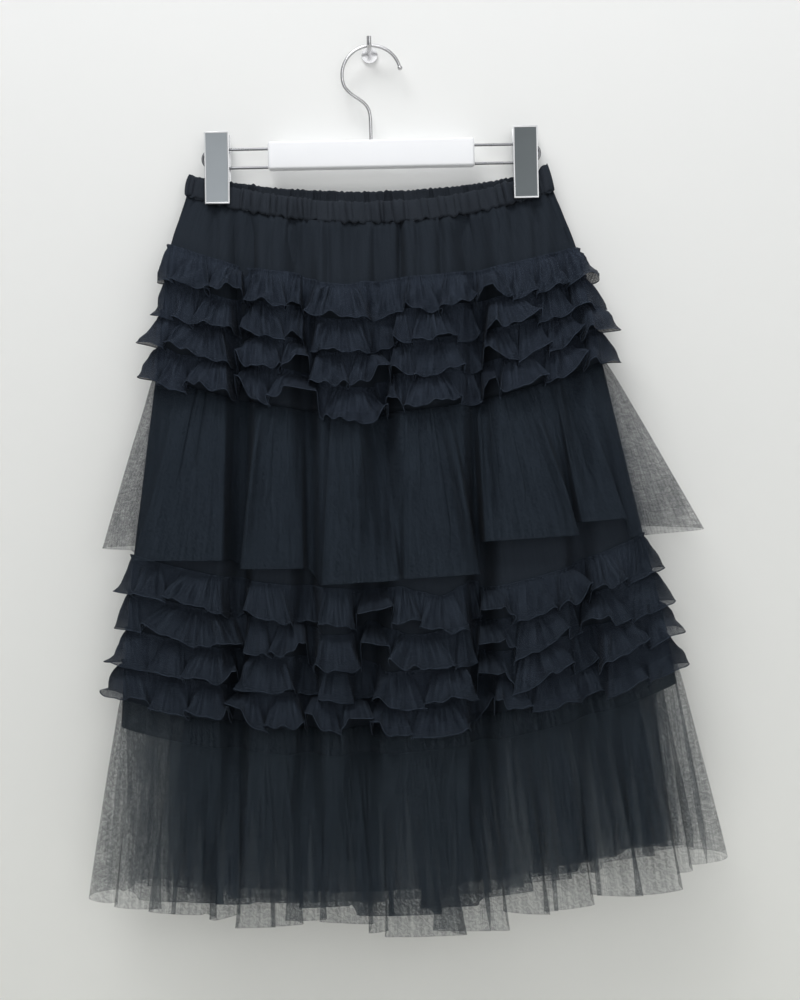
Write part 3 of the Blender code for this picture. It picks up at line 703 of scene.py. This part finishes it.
def net_material(name, dark, light, cover, contrast=0.25, moire=0.06, creases=0.45, painted_glow=None):
    """Black net: threads over open cells, denser where it is gathered.

    Given a painted glow, the net is painted lighter where it lies in one layer: painted light in
    place of the light that comes through the thin net.
    """
    made, tree, shader = new_material(name)
    cut = node(tree, "UVMap", uv_map="cut").outputs[0]
    gather = node(tree, "Attribute", attribute_name="gather").outputs["Fac"]
    net = node(tree, "Group",
               {"Cut": cut, "Cell": NET_CELL, "Cover": cover, "Contrast": contrast,
                "Moire": moire, "Crease Shade": creases, "Gather": gather},
               node_tree=NET_THREADS).outputs
    tone = between(tree, net["Tone"], dark, light)
    # The cut edge is painted paler: a painted highlight where the edge catches the light.
    cut_edge_highlight = ranged(tree, gather, EDGE_DENSITY - 1.0, EDGE_DENSITY)
    tone = between(tree, cut_edge_highlight, tone, tuple(EDGE_HIGHLIGHT_PAINT * c for c in light))
    # Painted light: thin net in one layer is painted lighter, standing for the lit wall seen
    # through it.
    if painted_glow:
        single_layer_glow = ranged(tree, gather, 1.0, 1.25, 1.0, 0.0)
        tone = between(tree, single_layer_glow, tone, painted_glow)
    feed(tree, shader, {"Base Color": tone, "Alpha": net["Alpha"], "Roughness": 0.85,
                        "Normal": bumped(tree, net["Height"], 1.1 * creases, 0.0010),
                        **CLOTH_SHEEN})
    return made


def cloth_material(name, dark, light):
    """Matt black woven cloth with a slight sheen."""
    made, tree, shader = new_material(name)
    cut = node(tree, "UVMap", uv_map="cut").outputs[0]
    weave = node(tree, "Group", {"Cut": cut, "Thread": CLOTH_THREAD},
                 node_tree=PLAIN_WEAVE).outputs
    feed(tree, shader, {"Base Color": between(tree, weave["Tone"], dark, light),
                        "Normal": bumped(tree, weave["Height"], 0.25, 0.0002),
                        "Roughness": 0.9, **CLOTH_SHEEN})
    return made


def hard_material(name, colour, roughness, metallic, uneven=0.05, gloss=0.5):
    """Plastic or metal whose tone and gloss vary a little over the surface."""
    made, tree, shader = new_material(name)
    blotches = noise(tree, node(tree, "TexCoord").outputs["Object"], 60.0, 5.0)
    darker = tuple(c * (1.0 - uneven) for c in colour)
    feed(tree, shader, {"Base Color": between(tree, blotches, colour, darker),
                        "Roughness": ranged(tree, blotches, 0.0, 1.0, roughness,
                                            roughness + 0.12),
                        "Specular IOR Level": gloss, "Metallic": metallic})
    return made


YOKE_CLOTH = cloth_material("yoke_cloth", (0.0129, 0.0170, 0.0231), (0.0206, 0.0260, 0.0344))
BAND_CLOTH = cloth_material("waistband_cloth", (0.0185, 0.0230, 0.0297), (0.0291, 0.0342, 0.0437))
UPPER_NET = net_material("ruffle_net_upper", (0.0101, 0.0137, 0.0219),
                         (0.0312, 0.0406, 0.0577), 0.50)
# The lower ruffles' net is painted darker than the upper one: painted shade of the flounce over
# them.
LOWER_NET_SHADED = net_material("ruffle_net_lower_shaded", (0.0091, 0.0126, 0.0196),
                         (0.0293, 0.0384, 0.0530), 0.46)
FLOUNCE_NET = net_material("flounce_net", (0.0099, 0.0142, 0.0206), (0.0315, 0.0424, 0.0571),
                           0.22, contrast=0.14, moire=0.08, creases=0.16)
HEM_NET = net_material("hem_net", (0.0100, 0.0143, 0.0206), (0.0334, 0.0442, 0.0556),
                       0.21, contrast=0.14, moire=0.11, painted_glow=(0.0582, 0.0714, 0.0821))
WHITE_PLASTIC = hard_material("white_plastic", (0.86, 0.868, 0.89), 0.32, 0.0, uneven=0.02)
BRIGHT_WIRE = hard_material("bright_wire", (0.55, 0.55, 0.56), 0.16, 1.0)
DARK_WIRE = hard_material("dark_wire", (0.22, 0.225, 0.235), 0.22, 1.0)
CLIP_FACE_LEFT = hard_material("clip_face_left", (0.300, 0.325, 0.345), 0.50, 0.0, gloss=0.15)
CLIP_FACE_RIGHT = hard_material("clip_face_right", (0.125, 0.140, 0.147), 0.50, 0.0, gloss=0.15)
CLIP_RIM = hard_material("clip_rim", (0.62, 0.625, 0.635), 0.24, 0.6)


# Pieces of cloth

def waistband():
    """The gathered strip over the elastic, puckered all round."""
    around = 1320
    share = np.arange(around) / around
    pucker_at = uneven_lobes(4, 88, 0.75)
    second_at = uneven_lobes(5, 47, 0.9)
    steps = np.append(np.linspace(0.0, 1.0, 10), 1.03)
    rows = []
    for step in steps:
        ring = Ring(BAND_HEIGHT * step)
        swell = math.sin(math.pi * (0.06 + 0.88 * min(step, 1.0))) ** 0.5
        lean = 0.0032 * fine_noise(share, 6, (31, 47)) * (step - 0.5)
        wander = share + 0.0022 * fine_noise(share, 7, (23, 38, 59))
        pucker = pucker_at(wander + lean, 0.42) * (0.5 + 0.5 * second_at(wander - lean, 0.7))
        out = -0.0032 + BAND_PUCKER * pucker * (0.4 + 0.6 * swell) + 0.0004 * swell
        if step > 1.0:
            out = np.full(around, -0.0052)
        points = ring.points(share, out)
        points[:, 2] += 0.0024 * (pucker - 0.5) * max(0.0, 1.0 - step) ** 3
        points[:, 2] += 0.0007 * fine_noise(share, 8, (97, 131, 163)) * max(0.0, 1.0 - step) ** 2
        points[:, 2] += 0.0016 * fine_noise(share, 9, (41, 67, 89)) * step ** 4
        points[:, 2] += 0.0060 * np.exp(-((share - 0.495) / 0.011) ** 4) * max(0.0, 1.0 - step)
        rows.append(points)
    sheet_piece("waistband_cloth", ["waistband"], "waistband_cloth", BAND_CLOTH, rows, share,
                steps * BAND_HEIGHT, thickness=OPAQUE_THICKNESS, measured=5)


YOKE_SMALL_AT = uneven_lobes(14, 90, 0.9)


def yoke_folds(share, ring):
    """Upright troughs under the waistband, and short fine gathers close to it."""
    down = ring.section.down
    x = 1000 * ring.read(ring.x, share)
    fade = float(np.interp(down, (BAND_HEIGHT, 0.040, 0.075, 0.12), (0.28, 1.0, 0.9, 0.2)))
    close = float(np.interp(down, (BAND_HEIGHT, 0.035, 0.060), (1.0, 0.5, 0.0)))
    spread = 1.0 + 6.0 * (down - BAND_HEIGHT)
    moved = np.zeros(len(share))
    at_front = share[1] < 0.5
    deepest = YOKE_TROUGH_FRONT if at_front else YOKE_TROUGH_BACK
    for place, half_width, deep in YOKE_TROUGHS:
        at = place if at_front else -0.93 * place
        moved -= deepest * deep * fade * np.exp(-np.abs((x - at) / (half_width * spread)) ** 1.7)
    return moved + YOKE_GATHERS * (YOKE_SMALL_AT(share, 0.6) - 1.0) * close


def panels(name, top, foot, rows_down, folds):
    """Front and back of one tier of the body, each its own sheet."""
    downs = np.linspace(top, foot, rows_down)
    for side, first in (("front", 0.0), ("back", 0.5)):
        share = np.linspace(first, first + 0.5, 300)
        rows = []
        for down in downs:
            ring = Ring(down)
            rows.append(ring.points(share, folds(share, ring) - OPAQUE_THICKNESS))
        sheet_piece(f"{name}_{side}_cloth", [f"{name}_{side}"], "opaque_cloth", YOKE_CLOTH, rows,
                    (share - first) * 2, downs,
                    thickness=OPAQUE_THICKNESS, closed=False)


def ruffle_strip(node_name, down, table, back_table, seed, tufts, look):
    """A gathered strip: a puckered heading, the stitched line, and lobes that hang below."""
    seam = Ring(down)
    foot = Ring(down + STRIP_HEIGHT)
    lobes = strip_lobes(seam, foot, table, back_table, seed, tufts)
    path = FoldPath(seam, lobes, least=0.0050, count=STRIP_COLUMNS_AROUND, soften=3)
    pucker = fine_noise(path.even, seed + 40, (151, 173, 211))
    curl = 0.5 + 0.5 * fine_noise(path.even, seed + 41, (17, 29, 41))
    belly = 0.5 + 0.5 * fine_noise(path.even, seed + 42, (13, 23, 31))
    steps = np.concatenate(([-HEADING / STRIP_HEIGHT, -0.5 * HEADING / STRIP_HEIGHT],
                            np.linspace(0.0, 0.97, STRIP_ROWS_DOWN), [1.0]))
    rows, density = [], []
    for step in steps:
        ring = Ring(down + step * STRIP_HEIGHT)
        if step <= 0.0:
            stand = SEAM_LIFT - step * 0.012
            points = ring.points(path.seam, stand + 0.0007 * pucker * (1.0 - 8.0 * step))
            points[:, 2] += path.lift
            rows.append(points)
            density.append([STRIP_DENSITY])
            continue
        drop = step * STRIP_HEIGHT
        share = path.seam + (path.hem - path.seam) * step ** 0.9
        out = path.stand * step ** (0.55 + 0.35 * belly) + STRIP_CURL * curl * step ** 5
        out += STRIP_CRUMPLE * crumple(path.even * path.length, drop, seed) * step
        side = (share - path.seam) * ring.length
        away = ring.read(ring.out, share) + out - seam.read(seam.out, path.seam)
        reach = np.sqrt(np.maximum(drop ** 2 - away ** 2 - side ** 2, (0.42 * drop) ** 2))
        gathers = pucker * np.minimum(0.0030, 0.6 * out) * (1.0 - 0.7 * step)
        points = ring.points(share, SEAM_LIFT + out + gathers)
        points[:, 2] = seam.points(share, 0.0)[:, 2] - reach
        points[:, 2] += path.lift + path.tilt * step + 0.0012 * curl * step
        rows.append(points)
        density.append([STRIP_DENSITY - 1.3 * step if step < 0.99 else EDGE_DENSITY])
    sheet_piece(f"{node_name}_net", [node_name], "ruffle_net", look, rows, path.even,
                steps * STRIP_HEIGHT, density)


def tier(name, nodes, top, foot, path, extra, row_count, last_row, flare, look, thin=1.0,
         base=SEAM_LIFT, sides=0.0, layers=None, slot="hem_net"):
    """A wide gathered tube: fine gathers at its seam that run out into its panels."""
    top_ring, foot_ring = Ring(top), Ring(foot)
    steps = np.append(np.linspace(0.0, last_row, row_count), 1.0)
    pucker = fine_noise(path.even, 64, (151, 173, 211))
    fine_at = uneven_lobes(TIER_SEED + len(name), 64, 0.9)
    streaks = fine_noise(path.even, 66, (61, 97, 139, 211))
    top_z = top_ring.points(path.seam, 0.0)[:, 2]
    rows, density = [], []
    for step in steps:
        ring = Ring(top + (foot - top) * step)
        beside, ahead = path.pinches(step)
        share = path.seam + (path.hem - path.seam) * step ** flare
        share = share + beside / ring.length * min(1.0, 0.3 + step)
        out = path.stand * step ** flare + ahead
        out += thin * TIER_GATHERS * fine_at(path.even, 0.8) * (1.0 - 0.6 * step)
        out += extra(share) * step + base + thin * 0.0010 * pucker * (1.0 - step) ** 3
        points = ring.points(share, out)
        points[:, 2] = top_z + (path.edge - top_z) * step
        rows.append(points)
        # How many layers lie over each other, more at the seam and fewer near the edge
        if layers is None:
            from_seam = np.minimum(np.mod(share, 0.5), 0.5 - np.mod(share, 0.5))
            full = np.clip((from_seam - 0.016) / 0.018, 0.0, 1.0)
            bunched = 1.0 + sides * full
        else:
            full = 1.0 - thinness(foot_ring.read(foot_ring.x, path.hem))
            bunched = np.maximum(1.0 + (layers - 1.0) * full, 0.25)
        bunched = bunched * (1.0 + 1.2 * np.maximum(full, 0.0) * (1.0 - step) ** 3)
        bunched = bunched * float(np.interp(step, *EDGE_FADE))
        density.append(np.minimum(bunched * (1.0 + 0.22 * streaks), MOST_DENSITY))
    sheet_piece(name, nodes, slot, look, rows, path.even, steps * (foot - top),
                density)


def thinness(x):
    """How thin the hem's net lies at each x, from 0 to 1."""
    thin = np.zeros(len(x))
    for left, right, share in HEM_WINDOWS:
        soft = 0.002 if share < 1.0 else 0.009
        inside = np.clip((x - left / 1000) / soft, 0.0, 1.0)
        thin = np.maximum(thin, share * inside * np.clip((right / 1000 - x) / soft, 0.0, 1.0))
    return thin


def flaps(share):
    """The flounce's two flaps that fan out past the side seams."""
    share = np.mod(share, 1.0)
    from_left = np.minimum(share, 1.0 - share) / FLAP_HALF_WIDTH
    from_right = (share - 0.5) / FLAP_HALF_WIDTH
    return FLAP_LEFT * np.exp(-from_left ** 2) + FLAP_RIGHT * np.exp(-from_right ** 2)


def flounce():
    """The wide net tube between the ruffled bands."""
    foot = Ring(FLOUNCE_FOOT)
    foot.z = foot.line_height(*FLOUNCE_EDGE)
    lobes = tier_lobes(foot, FLOUNCE_PANELS, FLOUNCE_PANELS[:-1], seed=61, most=0.0160,
                       most_back=0.0110, spread=0.2)
    path = FoldPath(foot, lobes, least=0.0030, count=1150, soften=4)
    path.pinch(foot, FLOUNCE_PINCHES, 0.02)
    tier("flounce_cloth", ["flounce"], FLOUNCE_DOWN, FLOUNCE_FOOT, path, flaps, 19, 0.994, 0.75,
         FLOUNCE_NET, sides=2.2, slot="flounce_net")


def hem_tiers():
    """Two sheer gathered tubes at the hem, in long uneven pleats that lean over each other."""
    foot = Ring(OUTER_HEM)
    lobes = tier_lobes(foot, HEM_PANELS, HEM_PANELS, seed=301, most=0.0200, most_back=0.0180,
                       spread=0.35)
    path = FoldPath(foot, lobes, least=0.0060, count=1300, soften=3)
    path.pinch(foot, HEM_PINCHES, 0.03)
    tier("hem_tier_outer_net", ["hem_tier_outer"], HEM_TIER_DOWN, OUTER_HEM, path,
         np.zeros_like, 17, 0.994, 0.8, HEM_NET, layers=1.25)
    foot = Ring(INNER_HEM)
    lobes = tier_lobes(foot, INNER_PANELS, INNER_PANELS, seed=331, most=0.0060,
                       most_back=0.0050, spread=0.4)
    path = FoldPath(foot, lobes, least=-0.0010, count=1200, soften=3)
    tier("hem_tier_inner_net", ["hem_tier_inner_front", "hem_tier_inner_back"], LOWER_PANEL_END,
         INNER_HEM, path, np.zeros_like, 14, 0.993, 0.8, HEM_NET, thin=0.5, base=-0.0010,
         layers=4.2)


# Hanger and wall hook

def added(name, operator, **settings):
    """Add one primitive, selected alone, and name it."""
    bpy.ops.object.select_all(action="DESELECT")
    operator(**settings)
    bpy.context.object.name = name
    return bpy.context.object


def box_piece(name, size, **place):
    """A box whose size is in its mesh, to be shaped further."""
    piece = added(name, bpy.ops.mesh.primitive_cube_add, size=1.0, **place)
    piece.scale = size
    bpy.ops.object.transform_apply(location=False, rotation=False, scale=True)
    return piece


def mode(name):
    bpy.ops.object.mode_set(mode=name)


def bevelled(piece, width, segments):
    """Round every edge of a piece."""
    apply_modifier(piece, "BEVEL", width=width, segments=segments, limit_method="ANGLE")


def finish_hard(piece, slot, node_name, look=None):
    """Put a hard piece's place in its mesh, smooth it and dress it."""
    only(piece)
    bpy.ops.object.transform_apply(location=True, rotation=True, scale=True)
    bpy.ops.object.shade_smooth_by_angle(angle=math.radians(32))
    if look is not None:
        piece.data.materials.clear()
        piece.data.materials.append(look)
    dress(piece, slot, node_name)


def wire_piece(node_name, route, diameter, look, tip=0.0):
    """A round wire along a smooth route, with a small ball at its start where it has a tip."""
    curve = added(f"{node_name}_wire", bpy.ops.curve.primitive_nurbs_path_add).data
    curve.splines.clear()
    spline = curve.splines.new("NURBS")
    spline.points.add(len(route) - 1)
    for point, place in zip(spline.points, route):
        point.co = (*place, 1.0)
    settle(spline, order_u=4, use_endpoint_u=True, resolution_u=8)
    settle(curve, bevel_depth=diameter / 2, bevel_resolution=5, use_fill_caps=True)
    bpy.ops.object.convert(target="MESH")
    piece = bpy.context.object
    if tip > 0.0:
        ball = added("wire_tip", bpy.ops.mesh.primitive_uv_sphere_add, segments=20,
                     ring_count=12, radius=tip, location=route[0])
        only(piece)
        ball.select_set(True)
        bpy.ops.object.join()
    finish_hard(piece, "bright_wire", node_name, look)


def turned(centre_x, centre_z, radius, angles, side=1):
    """Points of a wire's bend in the hanger's plane."""
    return [(side * (centre_x + radius * math.cos(angle)), HANGER_Y,
             centre_z + radius * math.sin(angle)) for angle in angles]


def hanger_hook():
    """The open hook, from its tip over the prong and down its stem into the bar."""
    route = turned(centre_x=0.0015, centre_z=-0.0219, radius=0.027,
                   angles=np.radians(np.linspace(13.0, 205.0, 33)))
    for x, z in ((-0.0172, -0.0398), (-0.0085, -0.0448), (-0.0022, -0.0510), (0.0, -0.0585),
                 (0.0, -0.068), (0.0, -0.0817)):
        route.append((x, HANGER_Y, z))
    wire_piece("hanger_hook", route, 0.0032, BRIGHT_WIRE, tip=0.0023)


def wire_loop(side_name, side):
    """A long flat loop of wire from one end of the bar, on which a clip rides."""
    top, bottom, start, end = -0.088, -0.105, 0.0948, 0.156
    radius = (top - bottom) / 2
    bend = end - LOOP_WIRE / 2 - radius
    straight = np.linspace(start, bend - 0.004, 6)
    route = [(side * x, HANGER_Y, top) for x in straight]
    route += turned(bend, (top + bottom) / 2, radius, np.linspace(math.pi / 2, -math.pi / 2, 11),
                    side)
    route += [(side * x, HANGER_Y, bottom) for x in straight[::-1]]
    wire_piece(f"wire_loop_{side_name}", route, LOOP_WIRE, DARK_WIRE)


def hanger_bar():
    """White moulded bar with soft edges."""
    low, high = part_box("hanger_bar")
    piece = box_piece("hanger_bar_moulding", high - low, location=(low + high) / 2)
    bevelled(piece, 0.0022, 4)
    finish_hard(piece, "white_plastic", "hanger_bar", WHITE_PLASTIC)


def clip_plate(node_name, facing, face_look):
    """A clip's plate: a satin face in a bright raised rim, bent inwards at its pivot."""
    low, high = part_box(node_name)
    middle_z = (high.z + low.z) / 2
    piece = box_piece(f"{node_name}_plate", (high.x - low.x, CLIP_DEPTH, high.z - low.z))
    mesh = piece.data
    mode("EDIT")
    bpy.ops.mesh.select_all(action="DESELECT")
    mode("OBJECT")
    for face in mesh.polygons:
        face.select = face.normal.y * facing > 0.9
    mode("EDIT")
    bpy.ops.mesh.select_mode(type="FACE")
    bpy.ops.mesh.inset(thickness=0.0011, depth=0.0)
    bpy.ops.mesh.inset(thickness=0.0003, depth=-0.0004)
    mode("OBJECT")
    mesh.materials.append(CLIP_RIM)
    mesh.materials.append(face_look)
    for face in mesh.polygons:
        face.material_index = 1 if face.select else 0
    mode("EDIT")
    bpy.ops.mesh.select_all(action="SELECT")
    bpy.ops.mesh.bisect(plane_co=(0.0, 0.0, -CLIP_GAP_DOWNS[1] - middle_z), plane_no=(0, 0, 1))
    mode("OBJECT")
    for vertex in mesh.vertices:
        gap = np.interp(-(vertex.co.z + middle_z), CLIP_GAP_DOWNS, CLIP_GAPS)
        vertex.co.y += facing * (gap + CLIP_DEPTH / 2)
    piece.location = ((low.x + high.x) / 2, HANGER_Y, middle_z)
    bevelled(piece, 0.0004, 2)
    finish_hard(piece, "clip_metal", node_name)


# Wall, floor, light and camera

def stage_plane(name, look, **place):
    plane = added(name, bpy.ops.mesh.primitive_plane_add, **place)
    plane.data.materials.append(look)


def wall_and_floor():
    """The wall behind, seen from the front only and painted darker towards the bottom as painted
    falloff of the light, and a pale floor.

    Light from behind passes the wall, so that the back can be looked at too.
    """
    wall, tree, shader = new_material("wall_paint_painted_falloff")
    place = node(tree, "TexCoord").outputs["Object"]
    upwards = node(tree, "SeparateXYZ", {0: place}).outputs["Y"]
    # Painted shade: the wall is painted lighter at the top and darker towards the bottom, as the
    # light falls off.
    feed(tree, shader, {"Base Color": between(tree, ranged(tree, upwards, -1.10, 0.10),
                                              (0.73, 0.735, 0.700), (0.84, 0.842, 0.842)),
                        "Roughness": 0.9})
    open_wall = maths(tree, "MAXIMUM", node(tree, "NewGeometry").outputs["Backfacing"],
                      node(tree, "LightPath").outputs["Is Shadow Ray"])
    clear = node(tree, "BsdfTransparent").outputs[0]
    seen = node(tree, "MixShader", {0: open_wall, 1: shader.outputs[0], 2: clear})
    feed(tree, tree.nodes["Material Output"], {"Surface": seen.outputs[0]})
    stage_plane("wall_backdrop", wall, size=6.0, location=(0.0, 0.0006, 0.2),
                rotation=(math.pi / 2, 0.0, 0.0))
    floor, tree, shader = new_material("pale_floor")
    feed(tree, shader, {"Base Color": (0.70, 0.69, 0.67, 1.0), "Roughness": 0.8})
    stage_plane("floor", floor, size=8.0, location=(0.0, -1.5, -1.35))


def placed(name, data, place, turn):
    """Put a light or the camera into the scene."""
    holder = settle(bpy.data.objects.new(name, data), location=place, rotation_euler=turn)
    bpy.context.scene.collection.objects.link(holder)
    return holder


def lights_and_camera():
    scene = bpy.context.scene
    scene.world = bpy.data.worlds.new("soft_room")
    scene.world.use_nodes = True
    tree = scene.world.node_tree
    feed(tree, tree.nodes["Background"], {"Color": (0.93, 0.97, 1.0, 1.0), "Strength": 0.27})
    for name, place, aim, size, power in LIGHTS:
        light = settle(bpy.data.lights.new(name, "AREA"), shape="SQUARE", size=size,
                       energy=power)
        x, y, z = np.array(aim) - np.array(place)
        placed(name, light, place, (math.pi / 2 + math.atan2(z, math.hypot(x, y)), 0.0,
                                    math.atan2(y, x) - math.pi / 2))
    camera = settle(bpy.data.cameras.new("camera"), lens=59.4, sensor_width=36.0)
    scene.camera = placed("camera", camera, (0.0203, -1.53, -0.4123),
                          (math.pi / 2, math.radians(1.1), 0.0))
    scene.cycles.transparent_max_bounces = 48
    scene.view_settings.view_transform = "Standard"


def build():
    waistband()
    panels("upper_panel", BAND_HEIGHT, FLOUNCE_DOWN, 26, yoke_folds)
    panels("lower_panel", FLOUNCE_DOWN, LOWER_PANEL_END, 22, lambda share, ring: 0.0)
    for part, downs, tables, tufts, seed, look in (
            ("upper", UPPER_STRIPS, UPPER_LOBES, UPPER_TUFTS, 101, UPPER_NET),
            ("lower", LOWER_STRIPS, LOWER_LOBES, LOWER_TUFTS, 201, LOWER_NET_SHADED)):
        for i, down in enumerate(downs):
            ruffle_strip(f"{part}_ruffle_{i + 1}", down, tables[i], tables[(i + 2) % 4],
                         seed + 7 * i, tufts[i], look)
    flounce()
    hem_tiers()
    hanger_bar()
    hanger_hook()
    for side_name, side, look in (("left", -1, CLIP_FACE_LEFT), ("right", 1, CLIP_FACE_RIGHT)):
        wire_loop(side_name, side)
        clip_plate(f"clip_{side_name}_front", -1, look)
        clip_plate(f"clip_{side_name}_back", 1, look)
    for node_name in ("clip_left_pivot", "clip_right_pivot", "wall_hook"):
        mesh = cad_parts[node_name].data
        mesh.materials.clear()
        mesh.materials.append(BRIGHT_WIRE)
    wall_and_floor()
    lights_and_camera()


build()
